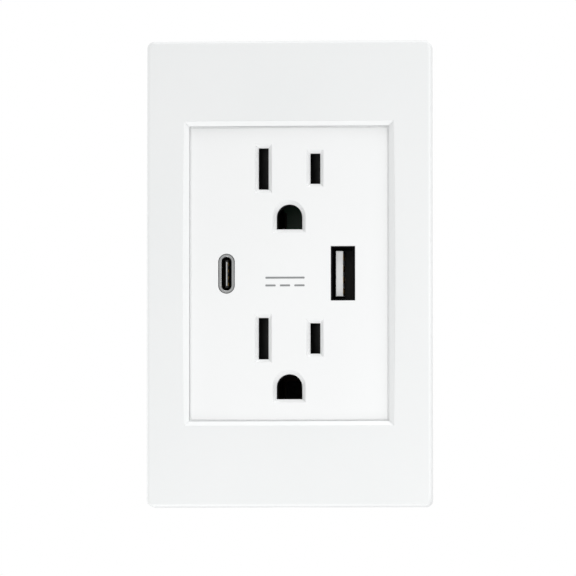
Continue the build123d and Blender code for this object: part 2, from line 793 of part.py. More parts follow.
# Every piece by its name
usb_a_shell, usb_a_body, usb_a_tongue, usb_a_contacts = make_usb_a()
usb_c_shell, usb_c_tongue, usb_c_mid_plate, usb_c_contacts = make_usb_c()
transformer_core, transformer_winding = make_transformer()
ground_place = Pos(-ground_screw_offset, terminal_y, -terminal_face_z) * Rot(0, 90, 0)
pieces = {
    "faceplate": make_faceplate(),
    "mounting_frame": make_mounting_frame(),
    "front_cover": make_front_cover(),
    "rear_housing": make_rear_housing(),
    "housing_screws": make_housing_screws(),
    "upper_shutter_carrier": make_carrier(upper_z),
    "lower_shutter_carrier": make_carrier(lower_z),
    "upper_shutter": make_shutter(upper_z),
    "lower_shutter": make_shutter(lower_z),
    "upper_shutter_spring": make_shutter_spring(upper_z),
    "lower_shutter_spring": make_shutter_spring(lower_z),
    "neutral_contact_strip": make_side_strip(-1),
    "hot_contact_strip": make_side_strip(1),
    "ground_contact_strip": make_ground_strip(),
    "neutral_terminal_screws": make_side_screws(-1),
    "hot_terminal_screws": make_side_screws(1),
    "ground_terminal_screw": ground_place * make_terminal_screw(RegularPolygon(terminal_head, 6)),
    "usb_board": make_usb_board(),
    "usb_a_shell": usb_a_shell,
    "usb_a_body": usb_a_body,
    "usb_a_tongue": usb_a_tongue,
    "usb_a_contacts": usb_a_contacts,
    "usb_c_shell": usb_c_shell,
    "usb_c_tongue": usb_c_tongue,
    "usb_c_mid_plate": usb_c_mid_plate,
    "usb_c_contacts": usb_c_contacts,
    "power_board": make_power_board(),
    "board_link_pins": make_link_pins(),
    "transformer_core": transformer_core,
    "transformer_winding": transformer_winding,
    **make_supply_parts(),
}

for name, piece in pieces.items():
    solids = piece if isinstance(piece, list) else [piece]
    whole = Compound(children=[solid for part in solids for solid in part.solids()])
    export_step(whole, f"parts/{name}.step")
    print(name, len(solids))
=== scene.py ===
# %% [markdown]
# # A wall socket with two USB ports
# The solids come from a CAD model, already in place and in metres, with the wall at y = 0, the room on the -Y side
# and Z up. They are the frame of this scene. What is left for Blender is how the socket looks: the finish of every
# surface, the small fasteners and springs that are too fine for the solids, the printed mark, light and camera.

# %% Load the frame
import math

import bpy
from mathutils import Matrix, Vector


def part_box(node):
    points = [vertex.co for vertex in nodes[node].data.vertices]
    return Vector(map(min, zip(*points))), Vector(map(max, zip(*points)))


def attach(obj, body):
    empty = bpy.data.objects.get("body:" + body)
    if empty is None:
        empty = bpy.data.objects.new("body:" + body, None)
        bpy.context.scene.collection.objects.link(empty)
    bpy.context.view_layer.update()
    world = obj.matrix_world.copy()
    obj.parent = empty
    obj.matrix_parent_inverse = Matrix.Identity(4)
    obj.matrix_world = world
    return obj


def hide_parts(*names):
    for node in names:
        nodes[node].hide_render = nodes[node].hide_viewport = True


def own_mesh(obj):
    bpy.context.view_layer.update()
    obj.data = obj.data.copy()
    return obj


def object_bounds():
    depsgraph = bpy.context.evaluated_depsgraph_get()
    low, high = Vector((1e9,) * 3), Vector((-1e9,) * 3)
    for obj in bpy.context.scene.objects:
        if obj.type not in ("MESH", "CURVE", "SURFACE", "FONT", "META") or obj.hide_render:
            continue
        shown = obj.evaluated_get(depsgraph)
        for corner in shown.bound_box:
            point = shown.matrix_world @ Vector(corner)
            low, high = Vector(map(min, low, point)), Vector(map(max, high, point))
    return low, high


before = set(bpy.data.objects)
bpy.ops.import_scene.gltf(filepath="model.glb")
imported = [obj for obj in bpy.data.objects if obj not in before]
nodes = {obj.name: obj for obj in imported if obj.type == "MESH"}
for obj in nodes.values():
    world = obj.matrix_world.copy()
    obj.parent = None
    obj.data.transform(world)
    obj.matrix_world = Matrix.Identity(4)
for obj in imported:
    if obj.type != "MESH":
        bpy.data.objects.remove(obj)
cad_low, cad_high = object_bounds()
mm = 0.001
print("CAD box in mm", [round(side / mm, 2) for side in cad_high - cad_low], "nodes", len(nodes))

# %% [markdown]
# ## The camera
# The photograph was taken with a long lens, a little from the right and a little from below: a narrow strip of the
# plate's right and lower edges shows. The plate is 69.85 mm wide and about 285 pixels in a picture of 576, and that
# gives the distance. Its middle sits 15 pixels above and just right of the middle of the picture, so the camera aims
# a little below it. That does the same as a lens shift, and leaves none to spoil other views.

# %% Place the camera
picture_side = 576
plate_pixels = 284.6
plate_rise_pixels = 15.0
plate_right_pixels = 0.7
camera_turn = math.radians(4.0)
camera_tilt = math.radians(-3.5)

plate_low, plate_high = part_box("faceplate")
pixel = (plate_high.x - plate_low.x) * math.cos(camera_turn) / plate_pixels
camera_data = bpy.data.cameras.new("long_lens")
camera_data.lens = 500
distance = picture_side * pixel * camera_data.lens / camera_data.sensor_width
towards_camera = Vector((
    math.sin(camera_turn) * math.cos(camera_tilt),
    -math.cos(camera_turn) * math.cos(camera_tilt),
    math.sin(camera_tilt),
))
aim = Vector((-plate_right_pixels * pixel, plate_low.y, -plate_rise_pixels * pixel))
camera = bpy.data.objects.new("camera", camera_data)
bpy.context.scene.collection.objects.link(camera)
camera.location = aim + towards_camera * distance
camera.rotation_euler = towards_camera.to_track_quat("Z", "Y").to_euler()
bpy.context.scene.camera = camera
print("camera", round(distance, 3), "m away,", round(pixel / mm, 4), "mm to a pixel")

# %% [markdown]
# ## Colours and nodes
# Colours are written as the eye reads them, in sRGB hex, and the shader wants them linear, so one function turns
# them. A second one adds a node, sets it up and links it, because a finish is then a short list of such calls.


# %% Two helpers for materials
def linear(colour):
    channels = [int(colour[place:place + 2], 16) / 255 for place in (1, 3, 5)]
    return [c / 12.92 if c <= 0.04045 else ((c + 0.055) / 1.055) ** 2.4 for c in channels] + [1.0]


def add_node(tree, kind, inputs=None, **settings):
    node = tree.nodes.new("ShaderNode" + kind)
    for name, value in settings.items():
        setattr(node, name, value)
    for socket, value in (inputs or {}).items():
        if isinstance(value, bpy.types.NodeSocket):
            tree.links.new(value, node.inputs[socket])
        else:
            node.inputs[socket].default_value = value
    return node


print("mid grey #808080 is", round(linear("#808080")[0], 4), "in linear light")

# %% [markdown]
# ## Background and floor
# A product picture has a white surround that doesn't tint the object. A brightly lit backdrop would give that, but
# it would also pour light on the plate. So the world is white only for what the camera sees and for mirror-like
# rays, and a softer grey for the light that it sheds. The floor lies well below the line of sight.

# %% Make the background and the floor
world = bpy.data.worlds.new("white_surround")
bpy.context.scene.world = world
world.use_nodes = True
world_tree = world.node_tree
world_tree.nodes.clear()
rays = add_node(world_tree, "LightPath")
seen = add_node(world_tree, "Math", {0: rays.outputs["Is Camera Ray"], 1: rays.outputs["Is Glossy Ray"]},
                operation="MAXIMUM")
seen = add_node(world_tree, "Math", {0: seen.outputs[0], 1: rays.outputs["Is Transmission Ray"]},
                operation="MAXIMUM")
fill_light = 0.555
shed = add_node(world_tree, "Background", {"Color": linear("#FFFFFF"), "Strength": fill_light})
shown = add_node(world_tree, "Background", {"Color": linear("#FFFFFF"), "Strength": 1.0})
both = add_node(world_tree, "MixShader", {0: seen.outputs[0], 1: shed.outputs[0], 2: shown.outputs[0]})
add_node(world_tree, "OutputWorld", {"Surface": both.outputs[0]})

floor_drop = 600 * mm
floor_side = 6.0
roller_width = 500 * mm
bpy.ops.object.select_all(action="DESELECT")
bpy.ops.mesh.primitive_plane_add(size=floor_side, location=(0, 0, cad_low.z - floor_drop))
floor = bpy.context.object
floor.name = "studio_floor"
floor_paint = bpy.data.materials.new("rolled_matt_floor_paint")
floor_paint.use_nodes = True
paint_tree = floor_paint.node_tree
paint_shader = paint_tree.nodes["Principled BSDF"]
# Matt paint has no highlight, only the faint marks of the roller.
paint_shader.inputs["Roughness"].default_value = 0.9
floor_place = add_node(paint_tree, "TexCoord").outputs["Object"]
roller_marks = add_node(paint_tree, "TexNoise", {"Vector": floor_place, "Scale": 1 / roller_width})
coat = add_node(paint_tree, "Mix",
                {0: roller_marks.outputs["Fac"], 6: linear("#F6F6F6"), 7: linear("#FAFAFA")}, data_type="RGBA")
paint_tree.links.new(coat.outputs[2], paint_shader.inputs["Base Color"])
floor.data.materials.append(floor_paint)
bpy.context.scene.view_settings.view_transform = "Standard"
print("floor", round((cad_low.z - floor_drop) / mm, 1), "mm up, fill light", fill_light)

# %% [markdown]
# ## Light
# White on white is shaped by small differences of light. A small lamp close by on the right fades across the face, a
# large one from above gives the plate its shape, and one from below opens the shadows. Two faint lamps hang a little
# behind the plate. They reach only its outer edges, which fade into the white as they do in a picture taken against
# a bright sheet. One big soft box would be simpler, but it would leave the bevel round the face without a shadow.


# %% Hang the lamps
def hang_lamp(name, turn, rise, away, side, watts):
    towards = Vector((
        math.sin(math.radians(turn)) * math.cos(math.radians(rise)),
        -math.cos(math.radians(turn)) * math.cos(math.radians(rise)),
        math.sin(math.radians(rise)),
    ))
    lamp_data = bpy.data.lights.new(name, "AREA")
    lamp_data.shape = "DISK"
    lamp_data.size = side
    lamp_data.energy = watts
    lamp = bpy.data.objects.new(name, lamp_data)
    bpy.context.scene.collection.objects.link(lamp)
    lamp.location = towards * away
    lamp.rotation_euler = towards.to_track_quat("Z", "Y").to_euler()
    print(name, watts, "W at", [round(place, 2) for place in lamp.location])


hang_lamp("key_lamp", turn=60, rise=2, away=0.35, side=0.2, watts=0.3)
hang_lamp("top_lamp", turn=10, rise=71, away=1.2, side=0.6, watts=6.2)
hang_lamp("low_lamp", turn=-20, rise=-56, away=0.5, side=0.3, watts=0.95)
hang_lamp("left_edge_lamp", turn=-102, rise=0, away=0.5, side=0.2, watts=0.5)
hang_lamp("right_edge_lamp", turn=102, rise=0, away=0.5, side=0.2, watts=0.18)

# %% [markdown]
# ## Patterns that the finishes share
# A moulded or plated surface is never one flat colour. Three patterns cover most of this socket: a slow drift of
# tone, a drift of gloss, and a fine grain that the light catches. A picture of a surface could be wrapped on, but it
# has seams and only one scale, while a noise fits any shape. Sizes are real ones in millimetres. An edge on a real
# moulding is never quite sharp either, so the grain starts from normals that are rounded at the edges.


# %% Tone, gloss and grain
cloud_detail = 3.0
grain_detail = 2.0
edge_samples = 8


def start_finish(name):
    material = bpy.data.materials.new(name)
    material.use_nodes = True
    tree = material.node_tree
    place = add_node(tree, "TexCoord").outputs["Object"]
    return material, tree, tree.nodes["Principled BSDF"], place


def tone_drift(tree, place, size, dark, light):
    cloud = add_node(tree, "TexNoise", {"Vector": place, "Scale": 1 / (size * mm), "Detail": cloud_detail})
    mixed = add_node(tree, "Mix", {0: cloud.outputs["Fac"], 6: linear(dark), 7: linear(light)}, data_type="RGBA")
    return mixed.outputs[2]


def gloss_drift(tree, place, size, low, high):
    cloud = add_node(tree, "TexNoise", {"Vector": place, "Scale": 1 / (size * mm), "Detail": cloud_detail})
    mapped = add_node(tree, "MapRange", {"Value": cloud.outputs["Fac"], "To Min": low, "To Max": high})
    return mapped.outputs[0]


def grain(tree, place, size, depth, edge):
    soft_edge = add_node(tree, "Bevel", {"Radius": edge * mm}, samples=edge_samples)
    height = add_node(tree, "TexNoise", {"Vector": place, "Scale": 1 / (size * mm), "Detail": grain_detail})
    bumped = add_node(tree, "Bump", {
        "Height": height.outputs["Fac"],
        "Normal": soft_edge.outputs[0],
        "Distance": depth * mm,
        "Strength": 1.0,
    })
    return bumped.outputs[0]


def wire(tree, shader, colour, roughness, normal):
    for socket, output in (("Base Color", colour), ("Roughness", roughness), ("Normal", normal)):
        tree.links.new(output, shader.inputs[socket])


print("patterns: tone drift, gloss drift, grain")

# %% [markdown]
# ## White mouldings: the plate and the face
# Both are polycarbonate, moulded in a tool with a fine satin texture. That gives a soft, wide highlight and a very
# fine grain that is only just visible. One tone and one gloss would look like paper, so both drift by a hair. The
# plate is a slightly darker and cooler white than the face in it.


# %% White polycarbonate
def satin_polycarbonate(name, dark, light, edge):
    material, tree, shader, place = start_finish(name)
    shader.inputs["IOR"].default_value = 1.58
    shader.inputs["Specular IOR Level"].default_value = 0.4
    wire(
        tree, shader,
        colour=tone_drift(tree, place, size=30, dark=dark, light=light),
        roughness=gloss_drift(tree, place, size=6, low=0.36, high=0.46),
        # The real texture is about 0.05 mm, and is drawn five times as coarse so that it shows.
        normal=grain(tree, place, size=0.25, depth=0.0016, edge=edge),
    )
    return material


# A soft, wide highlight along the plate's rounded edges.
plate_white = satin_polycarbonate("satin_moulded_polycarbonate_plate", "#EBEDED", "#F0F1F1", edge=0.4)
# The same satin, a shade lighter and crisper at its edges.
face_white = satin_polycarbonate("satin_moulded_polycarbonate_face", "#F1F2F2", "#F5F6F6", edge=0.2)
print(plate_white.name, face_white.name)

# %% [markdown]
# ## Dark and grey mouldings
# The tub and the frame are glass-filled nylon: matt, with a slightly cloudy surface where fibres reach the skin. The
# shutters and their trays are plain acetal, smoother and nearly black. The plastic in the USB ports is a stiff liquid
# crystal polymer. One function makes them all, because they differ only in colour, gloss and grain. The grain is
# drawn coarser than the real one, so that it shows.


# %% Technical plastics
def technical_plastic(name, dark, light, gloss, grain_size, grain_depth):
    material, tree, shader, place = start_finish(name)
    shader.inputs["IOR"].default_value = 1.53
    spread = 0.06
    wire(
        tree, shader,
        colour=tone_drift(tree, place, size=5, dark=dark, light=light),
        roughness=gloss_drift(tree, place, size=3, low=gloss - spread, high=gloss + spread),
        normal=grain(tree, place, size=grain_size, depth=grain_depth, edge=0.2),
    )
    return material


# Matt and faintly cloudy, with a grain that can just be felt.
housing_black = technical_plastic(
    "moulded_glass_filled_nylon_black", "#1B1C1D", "#242526", gloss=0.55, grain_size=0.3, grain_depth=0.006)
# The same nylon in light grey, where the clouds show less.
frame_grey = technical_plastic(
    "moulded_glass_filled_nylon_grey", "#A9ACAD", "#B6B8B9", gloss=0.55, grain_size=0.3, grain_depth=0.005)
# Even and nearly black, so that a closed slot reads as a dark hole.
shutter_black = technical_plastic(
    "moulded_acetal_black", "#0D0D0D", "#121212", gloss=0.6, grain_size=0.2, grain_depth=0.002)
# Pale and smooth, the lightest thing in the larger port.
tongue_grey = technical_plastic(
    "moulded_liquid_crystal_polymer_grey", "#DADBDB", "#E2E3E3", gloss=0.5, grain_size=0.15, grain_depth=0.001)
# The same polymer in black, which lines both ports: its own colour in the smaller port, and painted shade in the
# larger one, where the body behind the pale tongue is made black so that its depth looks dark.
black_polymer_and_painted_shade = technical_plastic(
    "moulded_liquid_crystal_polymer_black_and_painted_shade", "#1B1B1B", "#222222", gloss=0.6, grain_size=0.15, grain_depth=0.001)
print("mouldings:", housing_black.name, frame_grey.name, shutter_black.name, tongue_grey.name, black_polymer_and_painted_shade.name)

# %% [markdown]
# The small cases on the board are moulded round what they hold, in epoxy, polyester or polypropylene. The core of
# the transformer is no plastic but a pressed and fired powder. It is dull in the same way, so it comes from the same
# function.

# %% Cases on the board
# Fine and dull, like slate.
chip_black = technical_plastic(
    "moulded_epoxy_black", "#161617", "#1F2021", gloss=0.5, grain_size=0.1, grain_depth=0.003)
# Warm brown with a low sheen.
fuse_brown = technical_plastic(
    "moulded_polyester_brown", "#4A2E1D", "#573823", gloss=0.45, grain_size=0.2, grain_depth=0.002)
# Bright and rather glossy.
film_yellow = technical_plastic(
    "moulded_polypropylene_yellow", "#D2A61E", "#DDB22A", gloss=0.35, grain_size=0.2, grain_depth=0.001)
# Dark, dry and gritty, as pressed powder is.
ferrite_grey = technical_plastic(
    "sintered_ferrite", "#303033", "#3D3D40", gloss=0.6, grain_size=0.12, grain_depth=0.006)
print("cases:", chip_black.name, fuse_brown.name, film_yellow.name, ferrite_grey.name)

# %% [markdown]
# ## Capacitor cans
# A capacitor of this kind is a drawn aluminium can in a shrunk vinyl sleeve. The sleeve folds over the rim and leaves
# the end of the can bare, with a cross scored in it that lets the can vent. The end could be a disc of its own. It is
# flush with the sleeve but for the thickness of a film, so a mask in the finish does it: the metal shows wherever the
# surface is nearer to the middle of the end than the fold. No point on the side of the can is that near.


# %% Sleeved cans
sleeve_fold = 1.0 * mm
score_width = 0.3 * mm
score_depth = 0.1 * mm


def sleeved_can(name, node):
    material, tree, shader, place = start_finish(name)
    low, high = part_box(node)
    radius = (high.x - low.x) / 2
    ends = []
    scores = []
    for middle_z in (low.z + radius, high.z - radius):
        middle = (low.x + radius, high.y, middle_z)
        offset = add_node(tree, "VectorMath", {0: place, 1: middle}, operation="SUBTRACT").outputs[0]
        reach = add_node(tree, "VectorMath", {0: offset}, operation="LENGTH").outputs["Value"]
        end = add_node(tree, "Math", {0: reach, 1: radius - sleeve_fold}, operation="LESS_THAN").outputs[0]
        sides = add_node(tree, "SeparateXYZ", {0: offset}).outputs
        legs = [add_node(tree, "Math", {0: sides[side]}, operation="ABSOLUTE").outputs[0] for side in ("X", "Z")]
        nearer = add_node(tree, "Math", {0: legs[0], 1: legs[1]}, operation="MINIMUM").outputs[0]
        cross = add_node(tree, "Math", {0: nearer, 1: score_width / 2}, operation="LESS_THAN").outputs[0]
        ends.append(end)
        scores.append(add_node(tree, "Math", {0: end, 1: cross}, operation="MULTIPLY").outputs[0])
    metal = add_node(tree, "Math", {0: ends[0], 1: ends[1]}, operation="MAXIMUM").outputs[0]
    score = add_node(tree, "Math", {0: scores[0], 1: scores[1]}, operation="MAXIMUM").outputs[0]
    sleeve = tone_drift(tree, place, size=5, dark="#151B2E", light="#1C2438")
    bright = tone_drift(tree, place, size=1.5, dark="#B4B6B7", light="#C4C6C7")
    # Painted shade: the scored cross is darkened to grey, as shade in its groove would look.
    can = add_node(tree, "Mix", {0: score, 6: bright, 7: linear("#6E7071")}, data_type="RGBA").outputs[2]
    both = add_node(tree, "Mix", {0: metal, 6: sleeve, 7: can}, data_type="RGBA")
    ripple = grain(tree, place, size=0.6, depth=0.004, edge=0.2)
    pressed = add_node(tree, "Bump", {"Height": score, "Normal": ripple, "Distance": score_depth, "Strength": 1.0},
                       invert=True)
    tree.links.new(metal, shader.inputs["Metallic"])
    wire(
        tree, shader,
        colour=both.outputs[2],
        roughness=gloss_drift(tree, place, size=3, low=0.19, high=0.31),
        normal=pressed.outputs[0],
    )
    return material


# A glossy navy skin with the slight ripple that shrinking leaves, and a bright end.
small_can = sleeved_can("shrunk_vinyl_on_drawn_aluminium_small", "input_capacitors")
large_can = sleeved_can("shrunk_vinyl_on_drawn_aluminium_large", "output_capacitors")
print(small_can.name, large_can.name)

# %% [markdown]
# ## Metals
# Rolled strip keeps faint lines along the way it was rolled, so its pattern is a noise stretched along one axis. A
# plated or turned screw has a cloudier, rounder gloss. A metal's colour is its reflection, so the tones are written
# as the metal looks in white light, and the shader keeps its own index of refraction. The grain is far finer on real
# metal, and is drawn this coarse so that it shows.


# %% Rolled and plated metals
rolled_up_z = (1, 1, 0.06)
drawn_along_y = (1, 0.08, 1)


def rolled_metal(name, dark, light, gloss, stretch, edge=0.06):
    material, tree, shader, place = start_finish(name)
    shader.inputs["Metallic"].default_value = 1.0
    spread = 0.07
    along = add_node(tree, "Mapping", {"Vector": place, "Scale": stretch}).outputs[0]
    wire(
        tree, shader,
        colour=tone_drift(tree, place, size=4, dark=dark, light=light),
        roughness=gloss_drift(tree, along, size=0.4, low=gloss - spread, high=gloss + spread),
        normal=grain(tree, along, size=0.15, depth=0.002, edge=edge),
    )
    return material


def plated_metal(name, dark, light, gloss):
    material, tree, shader, place = start_finish(name)
    shader.inputs["Metallic"].default_value = 1.0
    spread = 0.08
    wire(
        tree, shader,
        colour=tone_drift(tree, place, size=2, dark=dark, light=light),
        roughness=gloss_drift(tree, place, size=0.8, low=gloss - spread, high=gloss + spread),
        normal=grain(tree, place, size=0.2, depth=0.002, edge=0.05),
    )
    return material


print("metals: rolled or drawn, and plated")

# %% [markdown]
# Contact strips and springs are cut from rolled sheet. The shells of the ports are drawn, which leaves lines along
# the way that a plug goes in.

# %% Strip and shells
# Painted shade: brown rather than yellow, the bright brass darkened so that it shows less in the dark of the holes.
painted_shade_brass_strip = rolled_metal("rolled_brass_strip_painted_shade", "#6B5430", "#7D643B", gloss=0.5, stretch=rolled_up_z)
# Painted shade: the brass is darkened to nearly black, so that the earth holes look dark to the bottom.
painted_shade_earth_brass = rolled_metal("rolled_brass_earth_strip_painted_shade", "#2E2922", "#39332B", gloss=0.6, stretch=rolled_up_z)
# Bright along the way it was rolled.
spring_strip = rolled_metal("rolled_spring_steel", "#A9ABAC", "#BABCBD", gloss=0.3, stretch=rolled_up_z)
# A mid grey ring with a rounded lip.
port_nickel = rolled_metal(
    "drawn_steel_nickel_plated", "#989999", "#A8A9A9", gloss=0.2, stretch=drawn_along_y, edge=0.2)
# A thin light line down the middle of the smaller port.
tongue_steel = rolled_metal("stamped_stainless_steel", "#B9BABA", "#C6C7C7", gloss=0.35, stretch=drawn_along_y)
# Painted shade: the nickel shell is darkened to nearly black, so that the larger port shows no rim.
painted_shade_port_steel = rolled_metal("drawn_steel_nickel_painted_shade_black", "#0C0C0D", "#111112", gloss=0.55, stretch=drawn_along_y)
print("strip:", painted_shade_brass_strip.name, painted_shade_earth_brass.name, spring_strip.name)
print("ports:", port_nickel.name, tongue_steel.name, painted_shade_port_steel.name)

# %% [markdown]
# Screws are turned and then plated, or left as bare brass. The tiny contacts of the ports are gold where they rub.

# %% Screws and contacts
# Cool and a little cloudy.
screw_zinc = plated_metal("turned_steel_zinc_plated", "#AEB2B5", "#C3C6C7", gloss=0.34)
# Warm yellow with a clear highlight.
screw_brass = plated_metal("turned_brass", "#B58D45", "#CBA45C", gloss=0.3)
# Silvery, with a hint of warmth.
screw_nickel = plated_metal("turned_steel_nickel_plated", "#B9B7B1", "#CCCAC4", gloss=0.26)
# Deep yellow on the tiny tongues and pins.
contact_gold = plated_metal("stamped_copper_gold_plated", "#C9A045", "#DCB65C", gloss=0.28)
print("screws and contacts:", screw_zinc.name, screw_brass.name, screw_nickel.name, contact_gold.name)

# %% [markdown]
# The earth screw is dyed green over its plating. The dye is a thin clear film of colour that lets some metal through,
# so the finish lies between paint and metal, with a coat over it.


# %% Green dye
def green_dye():
    material, tree, shader, place = start_finish("dyed_steel_green")
    shader.inputs["Metallic"].default_value = 0.6
    shader.inputs["Coat Weight"].default_value = 0.4
    shader.inputs["Coat Roughness"].default_value = 0.2
    wire(
        tree, shader,
        colour=tone_drift(tree, place, size=1.5, dark="#1F7A3E", light="#2B9150"),
        roughness=gloss_drift(tree, place, size=0.8, low=0.3, high=0.42),
        normal=grain(tree, place, size=0.2, depth=0.002, edge=0.05),
    )
    return material


# A wet green with a metal glint under it.
screw_green = green_dye()
print(screw_green.name)

# %% [markdown]
# ## Circuit boards
# A circuit board is woven glass under a green lacquer, and the weave of 0.5 mm shows through as a faint check. Two
# wave textures at right angles, multiplied, give that check. A checker texture would be simpler, but its squares have
# hard edges and a weave has none.

# %% Laminate
wave_radians = 20  # a wave texture at scale 1 runs through this many radians to a metre


def woven_laminate():
    material, tree, shader, place = start_finish("woven_glass_laminate_green_lacquer")
    shader.inputs["IOR"].default_value = 1.5
    thread = 0.5 * mm
    weave_depth = 0.004 * mm
    wander = 0.4
    waves = []
    for direction in ("X", "Z"):
        wave = add_node(tree, "TexWave",
                        {"Vector": place, "Scale": 2 * math.pi / (wave_radians * thread), "Distortion": wander},
                        wave_type="BANDS", bands_direction=direction)
        waves.append(wave.outputs["Fac"])
    check = add_node(tree, "Math", {0: waves[0], 1: waves[1]}, operation="MULTIPLY").outputs[0]
    lacquer = add_node(tree, "Mix", {0: check, 6: linear("#1C5A37"), 7: linear("#246A43")}, data_type="RGBA")
    bumped = add_node(tree, "Bump", {"Height": check, "Distance": weave_depth, "Strength": 1.0})
    wire(
        tree, shader,
        colour=lacquer.outputs[2],
        roughness=gloss_drift(tree, place, size=4, low=0.3, high=0.4),
        normal=bumped.outputs[0],
    )
    return material


# Deep green under a clear gloss, with a faint check.
board_green = woven_laminate()
print(board_green.name)

# %% [markdown]
# ## Transformer tape
# The winding is wrapped in yellow polyester tape, laid in turns about 3 mm wide. Each turn laps the one before, so
# its edge is a small step. A wave with a saw profile has such a step, where a sine would make a ripple.


# %% Tape
def wound_tape():
    material, tree, shader, place = start_finish("wound_polyester_tape_yellow")
    shader.inputs["IOR"].default_value = 1.6
    turn = 3.0 * mm
    lap_depth = 0.05 * mm
    lap = add_node(tree, "TexWave", {"Vector": place, "Scale": 2 * math.pi / (wave_radians * turn)},
                   wave_type="BANDS", bands_direction="Y", wave_profile="SAW").outputs["Fac"]
    tape = add_node(tree, "Mix", {0: lap, 6: linear("#CFA32B"), 7: linear("#E0B840")}, data_type="RGBA")
    bumped = add_node(tree, "Bump", {"Height": lap, "Distance": lap_depth, "Strength": 1.0})
    wire(
        tree, shader,
        colour=tape.outputs[2],
        roughness=gloss_drift(tree, place, size=2, low=0.2, high=0.3),
        normal=bumped.outputs[0],
    )
    return material


# Bright yellow in laps, each with an edge that catches the light.
winding_yellow = wound_tape()
print(winding_yellow.name)

# %% [markdown]
# ## Printing ink
# The mark on the face is pad-printed in grey ink, which lies on the plastic as a thin film. It needs no pattern of
# its own: a drift of tone and gloss at the scale of the strokes is what the pad leaves.


# %% Ink
def pad_ink():
    material, tree, shader, place = start_finish("pad_printed_ink_grey")
    wire(
        tree, shader,
        colour=tone_drift(tree, place, size=0.8, dark="#868889", light="#939596"),
        roughness=gloss_drift(tree, place, size=0.8, low=0.5, high=0.62),
        normal=grain(tree, place, size=0.2, depth=0.002, edge=0.02),
    )
    return material


# A thin grey film, duller than the satin round it.
mark_grey = pad_ink()
print(mark_grey.name)

# %% [markdown]
# ## Dress the solids
# Each solid keeps its shape and gets the finish of the real piece. The table names the pieces by the finish that
# they share.

# %% Give every node its finish
finishes = {
    plate_white: ["faceplate"],
    face_white: ["front_cover"],
    frame_grey: ["mounting_frame"],
    housing_black: ["rear_housing"],
    shutter_black: ["upper_shutter_carrier", "lower_shutter_carrier", "upper_shutter", "lower_shutter"],
    painted_shade_brass_strip: ["neutral_contact_strip", "hot_contact_strip"],
    painted_shade_earth_brass: ["ground_contact_strip"],
    spring_strip: ["upper_shutter_spring", "lower_shutter_spring"],
    screw_zinc: ["housing_screws"],
    screw_nickel: ["neutral_terminal_screws"],
    screw_brass: ["hot_terminal_screws"],
    screw_green: ["ground_terminal_screw"],
    board_green: ["usb_board", "power_board"],
    painted_shade_port_steel: ["usb_a_shell"],
    port_nickel: ["usb_c_shell"],
    tongue_steel: ["usb_c_mid_plate"],
    tongue_grey: ["usb_a_tongue"],
    black_polymer_and_painted_shade: ["usb_c_tongue", "usb_a_body"],
    contact_gold: ["usb_a_contacts", "usb_c_contacts", "board_link_pins"],
    ferrite_grey: ["transformer_core"],
    winding_yellow: ["transformer_winding"],
    small_can: ["input_capacitors"],
    large_can: ["output_capacitors"],
    fuse_brown: ["mains_fuse"],
    chip_black: ["rectifier", "controller_chip"],
    film_yellow: ["safety_capacitor"],
}
for material, names in finishes.items():
    for name in names:
        nodes[name].data.materials.clear()
        nodes[name].data.materials.append(material)
undressed = sorted(set(nodes) - {name for names in finishes.values() for name in names})
print("dressed", sum(len(names) for names in finishes.values()), "nodes, left", undressed)

# %% [markdown]
# ## Tools for new pieces
# What repeats on the socket, such as a screw, is modelled once and copied, and each copy gets a mesh of its own. An
# Array modifier could repeat it too, but only at even steps. The copies are joined with their places moved into the
# mesh, so that the finished piece sits at the origin as the solids do. It is then named, gets its finish and rides
# on the body that carries it.


# %% Copy, join and finish
def copy_to(piece, places, turn=(0, 0, 0)):
    copies = []
    for place in places:
        copy = piece.copy()
        copy.data = piece.data.copy()
        bpy.context.scene.collection.objects.link(copy)
        copy.rotation_euler = turn
        copy.location = place
        copies.append(copy)
    bpy.data.objects.remove(piece)
    return copies


def join_in_place(pieces):
    bpy.ops.object.select_all(action="DESELECT")
    for piece in pieces:
        piece.select_set(True)
    bpy.context.view_layer.objects.active = pieces[0]
    bpy.ops.object.transform_apply(location=True, rotation=True, scale=True)
    if len(pieces) > 1:
        bpy.ops.object.join()
    return pieces[0]


def finish_piece(piece, name, material):
    piece.name = name
    piece.data.name = name
    piece.data.materials.clear()
    piece.data.materials.append(material)
    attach(piece, "socket")
    print(name, len(piece.data.polygons), "faces")


print("tools: copy, join, finish")

# %% [markdown]
# ## The mark between the ports
# Sockets with chargers carry a small printed mark there. This one has the general sign for direct current, a bar
# over three dashes. It could be drawn in the finish of the face, but as thin solids the strokes stay crisp and leave
# Blender as meshes. A stroke starts as a cube at its size and has its ends rounded by a bevel. The dash is modelled
# once and copied to its three places. All lie on the face with just a hair of their thickness proud, as ink does.

# %% Print the direct current sign
face_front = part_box("front_cover")[0].y
mark_x = -1.0 * mm
mark_z = -2.0 * mm
stroke = 0.45 * mm
end_round = stroke * 0.3
round_steps = 4
bar_length = 9.6 * mm
dash_length = 2.5 * mm
row_gap = 1.9 * mm
ink_proud = 0.02 * mm
ink_depth = 0.1 * mm
dash_pitch = (bar_length - dash_length) / 2
ink_y = face_front - ink_proud + ink_depth / 2


